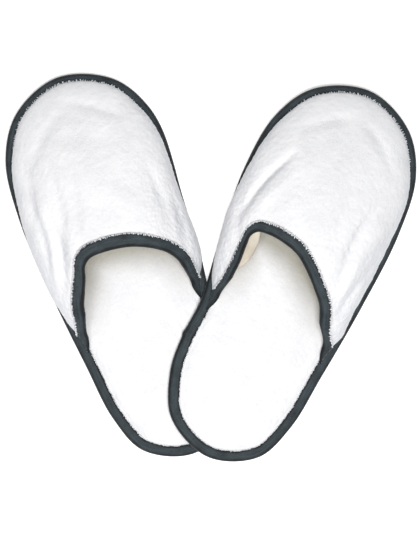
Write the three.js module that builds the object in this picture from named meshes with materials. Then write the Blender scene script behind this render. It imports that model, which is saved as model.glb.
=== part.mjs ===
// A pair of closed-toe terry spa slippers. The left slipper lies flat on the floor and the right one
// leans on it, with the inner side of its heel on the left insole.
// Millimetres, +Z up. The origin is at the floor, in the middle of the pair's bounding box.
//
// Each slipper is built in its own frame: the heel tip at the origin, +Y towards the toe, +X towards
// the outer side of the foot, and Z = 0 at the underside. The left one is mirrored as it is built.

import * as THREE from 'three';

// ---- Sole outline ----
const soleLength = 285;
const ballWidth = 120;
const heelWidth = 100;

// ---- Sole layers ----
const outsoleThickness = 3;
const coreThickness = 2.5;
const insoleThickness = 2;
const insoleRimThickness = 1.3; // the terry pressed flat inside the seam
const insoleRimMargin = 4.5; // from the sole tape's inner edge to where the terry starts to rise
const insoleSlopeWidth = 4; // the rise from the pressed rim to the cushion

// ---- Edge tapes and their seams ----
const tapeThickness = 0.9;
const soleTapeWidth = 7.5;
const throatTapeWidth = 8;
const threadSize = 0.7;
const seamInset = 3; // from a tape's inner edge back to its seam

// ---- Upper ----
const terryThickness = 1.5;
const paddingThickness = 1;
const liningThickness = 0.5;
const hemThickness = 1.1; // the terry pressed flat under the sole tape
const archRise = 28; // from the widest line of the upper to its crown at the throat
const sideHeight = 18; // height of the widest line at the ball of the foot
const toeHeight = 12; // height of the widest line at the toe
const sideBulge = 7.8; // how far the upper leans out over the sole tape at the ball
const toeBulge = 1.5;
const hemRise = 1; // the least height of the widest line over the sole tape
const instepAlong = 168; // from the heel tip to where the upper stands at its full height
const fallStart = 120; // from the heel tip to where the crown starts to fall to the toe

// ---- How the pair lies ----
const rightHeelRise = 7.958; // height the right heel is raised to lie on the left one
const rightPitch = THREE.MathUtils.radToDeg(Math.asin(rightHeelRise / soleLength)); // toe stays on the floor
const rightRoll = 2.4; // degrees, inner side up

const throatRoom = 3; // the least that shows of the upper between its widest line and the throat tape
const gap = 0.3; // clearance between pieces that touch
const seamSlack = 0.2; // more room where the upper bends up beside the sole tape
const plyGap = 0.5; // clearance between the curved plies of the upper

// How each slipper lies on the floor, and its throat line. A throat point is the distance from the
// heel and the share of the half-width there, from the outer side over the instep to the inner side.
const slippers = [
  {
    name: 'left',
    mirror: -1,
    yaw: 20,
    heel: [-12.8, -132.2],
    throatEnds: { outer: 103, inner: 112 },
    throat: [[122, 0.72], [133, 0.62], [143, 0.53], [151, 0.475], [155.5, 0.38], [156.5, 0.22], [153.5, -0.15],
      [145, -0.485], [138.5, -0.635], [129.5, -0.745], [120, -0.765]],
  },
  {
    name: 'right',
    mirror: 1,
    yaw: -24,
    heel: [-3, -134.4],
    throatEnds: { outer: 103, inner: 106 },
    throat: [[116, 0.645], [130, 0.495], [138, 0.35], [146, 0.195], [156, -0.04], [160, -0.27], [161, -0.47],
      [159.5, -0.615], [154, -0.69], [147, -0.7], [134, -0.71], [121, -0.75]],
  },
];

// ---- Levels and insets that follow from the sizes above ----
const heelHalf = heelWidth / 2;
const ballHalf = ballWidth / 2;
const insoleRimWidth = soleTapeWidth + insoleRimMargin;
const throatMargin = throatTapeWidth + throatRoom; // from the upper's widest line in to the throat line
const layerInset = tapeThickness + gap; // the cut edge of every layer inside the tape
const outsoleRimBottom = tapeThickness + gap;
const coreBottom = outsoleThickness + gap;
const coreTop = coreBottom + coreThickness;
const insoleRimTop = coreBottom + insoleRimThickness;
const insoleBottom = coreTop + gap;
const insoleTop = insoleBottom + insoleThickness;
const insoleInset = insoleRimWidth + insoleSlopeWidth;
const hemBottom = insoleRimTop + gap;
const hemTop = hemBottom + hemThickness;
const hemInset = soleTapeWidth + gap + seamSlack; // the line where the upper rises past the sole tape
const heelTapeTop = insoleRimTop + gap + tapeThickness;
const vampTapeTop = hemTop + gap + tapeThickness;
const paddingDepth = terryThickness + plyGap;
const liningDepth = paddingDepth + paddingThickness + plyGap;
const upperThickness = liningDepth + liningThickness;

// ---- Colours ----
const white = { color: 0xf3f3f4, roughness: 0.95, metalness: 0 };
const cream = { color: 0xe8dccb, roughness: 0.9, metalness: 0 };
const slate = { color: 0x3f484b, roughness: 0.7, metalness: 0 };
const foam = { color: 0xe9e7e0, roughness: 0.85, metalness: 0 };

// ---------------------------------------------------------------------------------------------
// Solids

// A closed solid from its corners and triangles, with every face turned outwards.
function solid(corners, triangles) {
  let volume = 0;
  for (const [a, b, c] of triangles) {
    volume += corners[a].dot(new THREE.Vector3().crossVectors(corners[b], corners[c]));
  }
  const faces = volume < 0 ? triangles.map(([a, b, c]) => [a, c, b]) : triangles;
  const geometry = new THREE.BufferGeometry().setFromPoints(corners);
  geometry.setIndex(faces.flat());
  geometry.computeVertexNormals();
  return geometry;
}

// The two triangles of a four-cornered face.
const quad = (a, b, c, d) => [[a, b, c], [a, c, d]];

// Joins rings of equally many points. A loop closes on itself; otherwise both ends are capped with
// the triangles of the flat outline given.
function loft(rings, capOutline) {
  const count = rings[0].length;
  const last = rings.length - 1;
  const bands = capOutline ? last : rings.length;
  const triangles = [];
  for (let r = 0; r < bands; r++) {
    const here = r * count;
    const next = ((r + 1) % rings.length) * count;
    for (let i = 0; i < count; i++) {
      const j = (i + 1) % count;
      triangles.push(...quad(here + i, here + j, next + j, next + i));
    }
  }
  if (capOutline) {
    const clockwise = THREE.ShapeUtils.isClockWise(capOutline);
    for (const cap of THREE.ShapeUtils.triangulateShape(capOutline, [])) {
      const [a, b, c] = clockwise ? cap.reverse() : cap;
      triangles.push([c, b, a]);
      triangles.push([last * count + a, last * count + b, last * count + c]);
    }
  }
  return solid(rings.flat(), triangles);
}

// A sheet with thickness, from the grid of its outer face and the same grid of its inner face.
function sheet(outer, inner) {
  const rows = outer.length;
  const columns = outer[0].length;
  const under = rows * columns;
  const at = (row, column) => row * columns + column;
  const triangles = [];
  for (let r = 0; r < rows - 1; r++) {
    for (let c = 0; c < columns - 1; c++) {
      const corners = [at(r, c), at(r, c + 1), at(r + 1, c + 1), at(r + 1, c)];
      triangles.push(...quad(...corners));
      triangles.push(...quad(...corners.map((corner) => corner + under).reverse()));
    }
  }
  const wall = (a, b) => triangles.push(...quad(b, a, a + under, b + under));
  for (let c = 0; c < columns - 1; c++) {
    wall(at(0, c), at(0, c + 1));
    wall(at(rows - 1, c + 1), at(rows - 1, c));
  }
  for (let r = 0; r < rows - 1; r++) {
    wall(at(r + 1, 0), at(r, 0));
    wall(at(r, columns - 1), at(r + 1, columns - 1));
  }
  return solid([...outer.flat(), ...inner.flat()], triangles);
}

// ---------------------------------------------------------------------------------------------
// The sole's outline, as evenly spaced stations from the heel tip round the outer side, the toe and
// the inner side. Every layer uses the same stations, so that layers stay parallel.

const stationCount = 48;

function soleStations() {
  const outerSide = [[0.05, 0.66 * heelHalf], [0.15, 0.91 * heelHalf], [0.3, 1.02 * heelHalf],
    [0.5, 0.95 * ballHalf], [0.7, ballHalf], [0.85, 0.91 * ballHalf], [0.95, 0.6 * ballHalf]];
  const innerSide = [[0.95, 0.62 * ballHalf], [0.85, 0.915 * ballHalf], [0.7, ballHalf],
    [0.5, 0.92 * ballHalf], [0.35, 0.99 * heelHalf], [0.25, heelHalf], [0.15, 0.94 * heelHalf],
    [0.05, 0.68 * heelHalf]];
  const place = ([share, across]) => new THREE.Vector3(across, share * soleLength, 0);
  const mirrored = innerSide.map(([share, across]) => [share, -across]);
  const points = [[0, 0], ...outerSide, [1, 0], ...mirrored].map(place);
  const curve = new THREE.CatmullRomCurve3(points, true, 'centripetal');
  const stations = [];
  for (let i = 0; i < stationCount; i++) {
    const tangent = curve.getTangentAt(i / stationCount);
    stations.push({
      point: curve.getPointAt(i / stationCount),
      inward: new THREE.Vector3(-tangent.y, tangent.x, 0),
    });
  }
  return stations;
}

const stations = soleStations();

// The outline moved in by a distance, at a height. Both may vary along the sole.
function ring(inset, height) {
  const value = (size, along) => (typeof size === 'function' ? size(along) : size);
  return stations.map(({ point, inward }) => {
    const moved = point.clone().addScaledVector(inward, value(inset, point.y));
    return moved.setZ(value(height, point.y));
  });
}

// A point between two stations of a ring.
function atStation(points, station) {
  const index = Math.floor(station);
  const start = points[index % points.length];
  const end = points[(index + 1) % points.length];
  return start.clone().lerp(end, station - index);
}

// The station where a ring passes a distance from the heel, on the outer or the inner side.
function stationAt(points, along, side) {
  const half = points.length / 2;
  let low = side === 'outer' ? 0 : points.length;
  let high = half;
  for (let i = 0; i < 40; i++) {
    const middle = (low + high) / 2;
    if (atStation(points, middle).y < along) low = middle;
    else high = middle;
  }
  return low;
}

// How far a ring reaches from the long axis at a distance from the heel, on one side.
function reach(points, along, across) {
  return Math.abs(atStation(points, stationAt(points, along, across < 0 ? 'inner' : 'outer')).x);
}

const flat = (points) => points.map(({ x, y }) => new THREE.Vector2(x, y));

// A layer of the sole, from its rings given as [inset, height] and capped at both ends.
function soleLayer(profile) {
  const rings = profile.map(([inset, height]) => ring(inset, height));
  return loft(rings, flat(rings[0]));
}

function outsoleGeometry() {
  const recess = soleTapeWidth + gap;
  return soleLayer([
    [recess, 0],
    [recess, outsoleRimBottom],
    [layerInset, outsoleRimBottom],
    [layerInset, outsoleThickness],
  ]);
}

function coreGeometry() {
  const edge = insoleInset + plyGap + gap;
  return soleLayer([[edge, coreBottom], [edge, coreTop]]);
}

function insoleGeometry() {
  return soleLayer([
    [insoleInset, insoleBottom],
    [insoleRimWidth, coreBottom],
    [layerInset, coreBottom],
    [layerInset, insoleRimTop],
    [insoleRimWidth, insoleRimTop],
    [insoleInset, insoleTop],
  ]);
}

const hemStart = slippers[0].throatEnds.outer;
const rampLength = 16; // over which the tape rises
const rampEnd = 6; // from the end of that rise to the start of the hem

// The sole tape stands higher where the hem of the upper lies under it.
function soleTapeTop(along) {
  const share = THREE.MathUtils.smoothstep(along, hemStart - rampEnd - rampLength, hemStart - rampEnd);
  return THREE.MathUtils.lerp(heelTapeTop, vampTapeTop, share);
}

// A U-shaped tape that wraps the edge of the whole sandwich.
function soleTapeGeometry() {
  const top = (along) => soleTapeTop(along);
  const topInside = (along) => soleTapeTop(along) - tapeThickness;
  const section = [
    ring(soleTapeWidth, 0),
    ring(0, 0),
    ring(0, top),
    ring(soleTapeWidth, top),
    ring(soleTapeWidth, topInside),
    ring(tapeThickness, topInside),
    ring(tapeThickness, tapeThickness),
    ring(soleTapeWidth, tapeThickness),
  ];
  return loft(section);
}

// The line of stitches on top of the sole tape.
function soleSeamGeometry() {
  const inset = soleTapeWidth - seamInset;
  const bottom = (along) => soleTapeTop(along) + gap;
  const top = (along) => soleTapeTop(along) + gap + threadSize;
  return loft([
    ring(inset, bottom),
    ring(inset, top),
    ring(inset + threadSize, top),
    ring(inset + threadSize, bottom),
  ]);
}

// ---------------------------------------------------------------------------------------------
// The upper: a dome over the forefoot, as columns that run from the hem up to the throat line.

const columnCount = 26;
const domeExponent = 2.1; // roundness across: 2 is an ellipse
const fallExponent = 1.5; // roundness along, from the instep to the toe
const climbAtEnds = 0.42; // share of its full height that the upper has at the throat's ends
const bulgeAtEnds = 0.4; // share of its full lean that the upper has where it has no height
const toeStart = 0.58; // shares of the sole's length between which the ball's sizes turn into the toe's
const toeEnd = 0.98;

// Shares that shape the upper along the sole: it climbs from the throat's ends to the instep, and
// falls to the toe.
function climb(along) {
  const share = THREE.MathUtils.clamp((along - hemStart) / (instepAlong - hemStart), 0, 1);
  return climbAtEnds + (1 - climbAtEnds) * Math.sin((share * Math.PI) / 2);
}

function fall(along) {
  const end = soleLength - hemInset + toeBulge;
  const share = THREE.MathUtils.clamp((along - fallStart) / (end - fallStart), 0, 1);
  return (1 - share ** fallExponent) ** (1 / fallExponent);
}

const toeShare = (along) => THREE.MathUtils.smoothstep(along / soleLength, toeStart, toeEnd);
const bulge = (along) => {
  const full = THREE.MathUtils.lerp(sideBulge, toeBulge, toeShare(along));
  return full * (bulgeAtEnds + (1 - bulgeAtEnds) * climb(along));
};
const widestHeight = (along) => {
  const lowest = vampTapeTop + hemRise;
  const full = THREE.MathUtils.lerp(sideHeight, toeHeight, toeShare(along));
  return lowest + (full - lowest) * climb(along);
};
const crownHeight = (along) => widestHeight(along) + archRise * climb(along) * fall(along);

const hemLine = ring(hemInset, vampTapeTop);
const widestLine = ring((along) => hemInset - bulge(along), widestHeight);

// The dome's height over a point inside the widest line.
function domeHeight(x, along) {
  const width = Math.max(reach(widestLine, along, x), 1e-6);
  const share = Math.min(Math.abs(x) / width, 1);
  const rise = (1 - share ** domeExponent) ** (1 / domeExponent);
  return THREE.MathUtils.lerp(widestHeight(along), crownHeight(along), rise);
}

// The throat line, from its outer end over the instep to its inner end.
function throatCurve({ throat, throatEnds }) {
  const ends = [[throatEnds.outer, 1], [throatEnds.inner, -1]];
  const place = ([along, share]) => {
    const wide = reach(widestLine, along, share);
    const across = Math.min(Math.abs(share) * wide, wide - throatMargin);
    return new THREE.Vector3(Math.sign(share) * across, along, 0);
  };
  return new THREE.CatmullRomCurve3([ends[0], ...throat, ends[1]].map(place));
}

const domeShares = [0, 0.06, 0.2, 0.45, 0.74]; // the dome's rows, of the way from its widest line to the tape
const leanShare = 0.2; // how far the row between the hem and the widest line is pushed out
const columnCrowding = 0.105; // draws the columns at the hem towards the toe

// One column of the upper's outer face: the hem under the tape, the lean over the tape, the dome.
// The last points are set by their distance from the throat line: the tape's inner edge, the cut
// edge of the layers, the inside of the tape's fold and the fold itself.
function upperColumn(hemStation, throatPoint) {
  const hem = atStation(hemLine, hemStation);
  const widest = atStation(widestLine, hemStation);
  const onDome = (share) => {
    const x = THREE.MathUtils.lerp(widest.x, throatPoint.x, share);
    const y = THREE.MathUtils.lerp(widest.y, throatPoint.y, share);
    return new THREE.Vector3(x, y, share === 0 ? widest.z : domeHeight(x, y));
  };
  const fine = 60;
  const fromThroat = (distance) => {
    let walked = 0;
    let before = onDome(1);
    for (let i = 1; i <= fine; i++) {
      const here = onDome(1 - i / fine);
      const step = here.distanceTo(before);
      if (walked + step >= distance) return 1 - (i - 1 + (distance - walked) / step) / fine;
      walked += step;
      before = here;
    }
    return 0;
  };
  const lean = hem.clone().lerp(widest, 0.5);
  lean.x += leanShare * (widest.x - hem.x);
  lean.y += leanShare * (widest.y - hem.y);
  const tapeEdge = fromThroat(throatTapeWidth);
  const dome = domeShares.map((share) => onDome(share * tapeEdge));
  const throat = [throatTapeWidth, layerInset, tapeThickness, 0].map(fromThroat).map(onDome);
  return [hem, lean, ...dome, ...throat];
}

// The way out of a grid's surface at each of its points. Its length is a mitre's, so that a face
// moved along it keeps its distance from every cell that meets at the point.
function gridNormals(grid) {
  const cells = grid.slice(1).map((row, r) => row.slice(1).map((corner, c) => {
    const rising = new THREE.Vector3().subVectors(corner, grid[r][c]);
    const crossing = new THREE.Vector3().subVectors(grid[r + 1][c], grid[r][c + 1]);
    return rising.cross(crossing).normalize();
  }));
  return grid.map((row, r) => row.map((_, c) => {
    const around = [[r - 1, c - 1], [r - 1, c], [r, c - 1], [r, c]];
    const near = around.map(([i, j]) => cells[i]?.[j]).filter(Boolean);
    const normal = near.reduce((sum, cell) => sum.add(cell), new THREE.Vector3()).normalize();
    const lean = near.reduce((sum, cell) => sum + cell.dot(normal), 0) / near.length;
    return normal.divideScalar(lean);
  }));
}

// The rows of the upper's outer face, from the hem to the throat line, with their normals.
function upperSurface(slipper) {
  const curve = throatCurve(slipper);
  const first = stationAt(hemLine, slipper.throatEnds.outer, 'outer');
  const last = stationAt(hemLine, slipper.throatEnds.inner, 'inner');
  const columns = [];
  for (let k = 0; k <= columnCount; k++) {
    const share = k / columnCount;
    const hemShare = share - columnCrowding * Math.sin(2 * Math.PI * share);
    columns.push(upperColumn(THREE.MathUtils.lerp(first, last, hemShare), curve.getPointAt(share)));
  }
  const rows = columns[0].map((_, r) => columns.map((column) => column[r]));
  const normals = gridNormals(rows);
  // At the hem the upper stands straight up beside the tape.
  normals[0] = normals[0].map((normal) => new THREE.Vector3(normal.x, normal.y, 0).normalize());
  return { rows, normals };
}

const rowEdge = -2; // rows past the layers' cut edge belong to the tape's fold

// The face at a depth below the outer face.
function faceAt({ rows, normals }, depth) {
  return rows.map((row, r) => row.map((point, c) => point.clone().addScaledVector(normals[r][c], -depth)));
}

function layerGeometry(surface, outerDepth, innerDepth) {
  return sheet(faceAt(surface, outerDepth).slice(0, rowEdge), faceAt(surface, innerDepth).slice(0, rowEdge));
}

// The terry layer also has a hem that lies flat under the sole tape.
function terryGeometry(surface) {
  const outer = faceAt(surface, 0).slice(0, rowEdge);
  const inner = faceAt(surface, terryThickness).slice(0, rowEdge);
  const hemWidth = hemInset - layerInset - 2 * plyGap;
  const hemRow = (row, outwards, height) => row.map((point, c) => {
    return point.clone().addScaledVector(surface.normals[0][c], outwards).setZ(height);
  });
  outer.unshift(hemRow(outer[0], hemWidth, hemTop), hemRow(outer[0], 0, hemTop));
  inner.unshift(hemRow(inner[0], hemWidth + terryThickness, hemBottom), hemRow(inner[0], 0, hemBottom));
  return sheet(outer, inner);
}

// The tape folded over the throat edge, as a U-shaped section at every column.
function throatTapeGeometry({ rows, normals }) {
  const [edge, , inside, fold] = [-4, -3, -2, -1].map((r) => rows.length + r);
  const outside = gap + tapeThickness;
  const section = [
    [edge, gap], [edge, outside], [fold, outside],
    [fold, -upperThickness - plyGap - tapeThickness], [edge, -upperThickness - plyGap - tapeThickness],
    [edge, -upperThickness - plyGap], [inside, -upperThickness - plyGap], [inside, gap],
  ];
  const place = (c) => ([r, height]) => rows[r][c].clone().addScaledVector(normals[r][c], height);
  const rings = rows[0].map((_, c) => section.map(place(c)));
  const across = { [edge]: throatTapeWidth, [inside]: tapeThickness, [fold]: 0 };
  return loft(rings, section.map(([r, height]) => new THREE.Vector2(across[r], height)));
}

// The line of stitches on the throat tape.
function throatSeamGeometry({ rows, normals }) {
  const edge = rows.length - 4;
  const fold = rows.length - 1;
  const floor = gap + tapeThickness + gap;
  const share = seamInset / throatTapeWidth;
  const width = threadSize / throatTapeWidth;
  const section = [
    [share, floor], [share, floor + threadSize], [share + width, floor + threadSize], [share + width, floor],
  ];
  const rings = rows[0].map((_, c) => section.map(([across, height]) => {
    const point = rows[edge][c].clone().lerp(rows[fold][c], across);
    const normal = normals[edge][c].clone().lerp(normals[fold][c], across).normalize();
    return point.addScaledVector(normal, height);
  }));
  return loft(rings, section.map(([across, height]) => new THREE.Vector2(across * throatTapeWidth, height)));
}

// ---------------------------------------------------------------------------------------------
// Assembly

function piece(slipper, name, geometry, look) {
  const placed = geometry.clone().scale(slipper.mirror, 1, 1);
  if (slipper.mirror < 0) {
    const faces = Array.from(placed.index.array);
    for (let i = 0; i < faces.length; i += 3) faces.splice(i, 3, faces[i], faces[i + 2], faces[i + 1]);
    placed.setIndex(faces);
    placed.computeVertexNormals();
  }
  const mesh = new THREE.Mesh(placed, new THREE.MeshStandardMaterial(look));
  mesh.name = `${slipper.name}_${name}`;
  return mesh;
}

function slipperGroup(slipper) {
  const surface = upperSurface(slipper);
  const group = new THREE.Group();
  const add = (name, geometry, look) => group.add(piece(slipper, name, geometry, look));
  add('outsole', outsoleGeometry(), foam);
  add('foam_core', coreGeometry(), foam);
  add('terry_insole', insoleGeometry(), white);
  add('sole_tape', soleTapeGeometry(), slate);
  add('sole_seam', soleSeamGeometry(), slate);
  add('vamp_terry', terryGeometry(surface), white);
  add('vamp_padding', layerGeometry(surface, paddingDepth, paddingDepth + paddingThickness), foam);
  add('vamp_lining', layerGeometry(surface, liningDepth, liningDepth + liningThickness), cream);
  add('throat_tape', throatTapeGeometry(surface), slate);
  add('throat_seam', throatSeamGeometry(surface), slate);
  group.rotation.order = 'ZXY';
  group.rotation.z = THREE.MathUtils.degToRad(slipper.yaw);
  group.position.set(slipper.heel[0], slipper.heel[1], 0);
  return group;
}

// Whether a point lies inside a closed outline, both in plan.
function isInside(point, outline) {
  let inside = false;
  outline.forEach((a, i) => {
    const b = outline[(i + 1) % outline.length];
    const crosses = a.y > point.y !== b.y > point.y;
    if (crosses && point.x < ((b.x - a.x) * (point.y - a.y)) / (b.y - a.y) + a.x) inside = !inside;
  });
  return inside;
}

// Lowers the tilted right slipper until its underside meets the floor or the left slipper.
function settle(right, left) {
  right.rotation.x = THREE.MathUtils.degToRad(-rightPitch);
  right.rotation.y = THREE.MathUtils.degToRad(rightRoll);
  right.updateMatrixWorld();
  left.updateMatrixWorld();
  const underside = ring(0, 0).map((point) => right.localToWorld(point));
  let lift = -Math.min(...underside.map(({ z }) => z));
  const toRight = right.matrixWorld.clone().invert();
  const seamTop = (along) => soleTapeTop(along) + gap + threadSize;
  const leftTop = [[0, soleTapeTop], [soleTapeWidth, soleTapeTop], [soleTapeWidth - seamInset, seamTop]];
  for (let inset = insoleInset; inset < heelHalf; inset += heelHalf / 5) leftTop.push([inset, insoleTop]);
  for (const [inset, height] of leftTop) {
    for (const point of ring(inset, height)) {
      point.x *= slippers[0].mirror;
      const seat = left.localToWorld(point);
      const seen = seat.clone().applyMatrix4(toRight);
      if (isInside(seen, ring(0, 0))) lift = Math.max(lift, seen.z + gap);
    }
  }
  right.position.z = lift;
}

const pair = new THREE.Group();
const [leftSlipper, rightSlipper] = slippers.map(slipperGroup);
settle(rightSlipper, leftSlipper);
pair.add(leftSlipper, rightSlipper);

// The pair is moved so that the origin is in the middle of its bounding box.
const middle = new THREE.Box3().setFromObject(pair, true).getCenter(new THREE.Vector3());
pair.position.set(-middle.x, -middle.y, 0);

export default pair;
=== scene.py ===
import math
import bpy
import numpy as np
from mathutils import Matrix, Vector, noise


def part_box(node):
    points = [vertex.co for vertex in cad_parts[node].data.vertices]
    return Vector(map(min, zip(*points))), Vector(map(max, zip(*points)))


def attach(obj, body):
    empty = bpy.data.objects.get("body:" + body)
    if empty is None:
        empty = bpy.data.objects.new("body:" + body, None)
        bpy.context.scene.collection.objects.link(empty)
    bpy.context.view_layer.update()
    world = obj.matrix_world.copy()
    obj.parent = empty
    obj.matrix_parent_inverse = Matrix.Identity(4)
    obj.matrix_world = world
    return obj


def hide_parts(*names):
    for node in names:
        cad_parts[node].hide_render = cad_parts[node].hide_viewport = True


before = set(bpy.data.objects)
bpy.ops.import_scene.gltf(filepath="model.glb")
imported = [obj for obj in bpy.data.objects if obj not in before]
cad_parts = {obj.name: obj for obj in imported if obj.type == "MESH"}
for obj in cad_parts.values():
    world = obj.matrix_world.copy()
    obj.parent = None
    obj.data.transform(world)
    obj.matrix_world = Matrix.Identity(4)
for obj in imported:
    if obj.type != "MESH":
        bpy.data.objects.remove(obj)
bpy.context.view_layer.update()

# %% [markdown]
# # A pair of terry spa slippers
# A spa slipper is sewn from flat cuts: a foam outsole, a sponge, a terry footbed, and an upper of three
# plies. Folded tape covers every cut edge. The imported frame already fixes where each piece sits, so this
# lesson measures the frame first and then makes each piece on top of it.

MM = 0.001

# %% [markdown]
# ## Camera
# The pair is seen from straight above. A short lens close by would make the raised insteps lean outwards,
# so the lens is long and stands far away.

# %% Camera
VIEW_ELEVATION = 90.0
CAMERA_DISTANCE = 5.0
SENSOR_WIDTH = 36.0
VIEW_HEIGHT = 0.3848  # metres of floor that the picture's long side takes in
bpy.ops.object.camera_add()
camera = bpy.context.object
camera.data.lens = SENSOR_WIDTH * CAMERA_DISTANCE / VIEW_HEIGHT
camera.data.sensor_width = SENSOR_WIDTH
tilt = math.radians(VIEW_ELEVATION)
away = Vector((0.0, -math.cos(tilt), math.sin(tilt)))
look_at = Vector((-0.0007, -0.0018, 0.0))
camera.location = look_at + away * CAMERA_DISTANCE
camera.rotation_euler = (math.radians(90.0 - VIEW_ELEVATION), 0.0, 0.0)
camera.data.clip_end = 20.0
bpy.context.scene.camera = camera
print("the lens is", round(camera.data.lens), "mm long")

# %% [markdown]
# ## Light
# White cloth shows its folds only when the light has a direction. A bare sun would cut hard shadows, so a
# soft round lamp hangs nearly overhead, a little towards the heels. A weaker one stands to the left, on
# the heels' side, and a faint world fills what is left.

# %% Lamps and world
def soft_lamp(name, place, size, power):
    bpy.ops.object.light_add(type="AREA", location=place)
    lamp = bpy.context.object
    lamp.name = name
    lamp.data.shape = "DISK"
    lamp.data.size = size
    lamp.data.energy = power
    lamp.rotation_euler = (-Vector(place)).to_track_quat("-Z", "Y").to_euler()


soft_lamp("key_lamp", (-0.45, -0.5, 1.15), 0.5, 4.0)
soft_lamp("overhead_lamp", (0.11, -0.24, 1.5), 0.55, 20.0)
world = bpy.data.worlds.new("studio_air")
bpy.context.scene.world = world
world.use_nodes = True
air = world.node_tree.nodes["Background"]
air.inputs["Color"].default_value = (1.0, 1.0, 1.0, 1.0)
air.inputs["Strength"].default_value = 0.1
bpy.context.scene.view_settings.view_transform = "Standard"

# %% [markdown]
# ## Colours and a helper for nodes
# Colours are picked as hex values, and the shader wants linear light, so one function turns them.
# The others add a node, set it up and link its inputs, so a material reads as a list. An input goes by
# its name, or by its number after an i where names repeat.

# %% Colour and node helpers
def linear(hex_colour):
    channels = [int(hex_colour[i:i + 2], 16) / 255 for i in (1, 3, 5)]
    return [c / 12.92 if c <= 0.04045 else ((c + 0.055) / 1.055) ** 2.4 for c in channels] + [1.0]


def socket_of(node, name):
    by_number = name[0] == "i" and name[1:].isdigit()
    return node.inputs[int(name[1:]) if by_number else name.replace("_", " ")]


def add_node(tree, kind, settings=None, **inputs):
    node = tree.nodes.new("ShaderNode" + kind)
    for name, value in (settings or {}).items():
        setattr(node, name, value)
    for name, value in inputs.items():
        socket = socket_of(node, name)
        if isinstance(value, bpy.types.NodeSocket):
            tree.links.new(value, socket)
        else:
            socket.default_value = value
    return node


def maths(tree, operation, *values):
    numbered = {f"i{number}": value for number, value in enumerate(values)}
    return add_node(tree, "Math", {"operation": operation}, **numbered).outputs[0]


def multiplied(tree, share, colour, tint):
    how = {"data_type": "RGBA", "blend_type": "MULTIPLY"}
    return add_node(tree, "Mix", how, i0=share, i6=colour, i7=linear(tint)).outputs[2]


def grain_of(tree, place, size, **settings):
    return add_node(tree, "TexNoise", Vector=place, Scale=1 / size, **settings).outputs["Fac"]


def finish_shader(tree, shader, colour, bump, **values):
    tree.links.new(colour, shader.inputs["Base Color"])
    tree.links.new(bump.outputs["Normal"], shader.inputs["Normal"])
    for name, value in values.items():
        socket_of(shader, name).default_value = value


def new_material(name):
    material = bpy.data.materials.new(name)
    material.use_nodes = True
    tree = material.node_tree
    place = add_node(tree, "TexCoord").outputs["Object"]
    return material, tree, tree.nodes["Principled BSDF"], place


def ramp(tree, factor, stops):
    node = add_node(tree, "ValToRGB", i0=factor)
    while len(node.color_ramp.elements) < len(stops):
        node.color_ramp.elements.new(0.5)
    for element, (place, colour) in zip(node.color_ramp.elements, stops):
        element.position = place
        element.color = linear(colour)
    return node.outputs["Color"]

# %% [markdown]
# ## Terry
# Terry is a cotton ground with a pile of small loops, brushed so that the loops open. The loops are about a
# millimetre apart. To the eye it is a matte white with a soft, faintly mottled surface, and a halo of fibre
# where it turns away. The larger tufts are modelled later as real pile; the bump here draws what lies between
# them. Three darkenings are painted, not lit: the gaps between the small tufts are painted a little darker,
# cloth seen at a slant is toned down a little, and the footbed carries a map that shades it under the arch.
# They stay when the lamps move.

# %% Terry material
def terry_material(name, light, shade):
    material, tree, shader, place = new_material(name)
    patches = grain_of(tree, place, 14 * MM, Detail=3.0)
    tufts = add_node(tree, "TexVoronoi", Vector=place, Scale=1 / (1.3 * MM))
    fibres = grain_of(tree, place, 0.6 * MM, Detail=4.0, Roughness=0.7)
    # The large patches are the cloth's own uneven tone. The gaps between the tufts are painted a little
    # darker, which is painted shade.
    patches_and_tuft_gap_shade = maths(tree, "MULTIPLY_ADD", tufts.outputs["Distance"], 0.35, patches)
    colour = ramp(tree, patches_and_tuft_gap_shade, [(0.35, light), (0.95, shade)])
    under_arch = add_node(tree, "Attribute", {"attribute_name": "under_arch"})
    shaded = multiplied(tree, under_arch.outputs["Fac"], colour, "#b3b0a4")
    seen = add_node(tree, "LayerWeight", Blend=0.5)
    slant = add_node(tree, "MapRange", Value=seen.outputs["Facing"], i1=0.02, i2=0.42)
    toned = multiplied(tree, slant.outputs["Result"], shaded, "#e6e7e9")
    nap = add_node(tree, "Bump", {"invert": True}, Strength=0.45, Distance=0.4 * MM,
                   Height=tufts.outputs["Distance"])
    fuzz = add_node(tree, "Bump", Strength=0.4, Distance=0.3 * MM, Height=fibres,
                    Normal=nap.outputs["Normal"])
    finish_shader(tree, shader, toned, fuzz, Roughness=0.95, Specular_IOR_Level=0.2,
                  Sheen_Weight=0.35, Sheen_Roughness=0.6)
    return material


white_terry = terry_material("white_terry", "#f9f9fa", "#eeeef1")

# %% [markdown]
# ## Binding tape
# The tape is a 25 mm polyester weave, folded over the edge. It is dark slate with a slight green-blue
# cast and a dull sheen. Its ribs run across the tape, about 0.4 mm apart; they are drawn 0.9 mm apart so
# that they show. The pattern follows the tape's own UV map, in millimetres along and across it.

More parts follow.
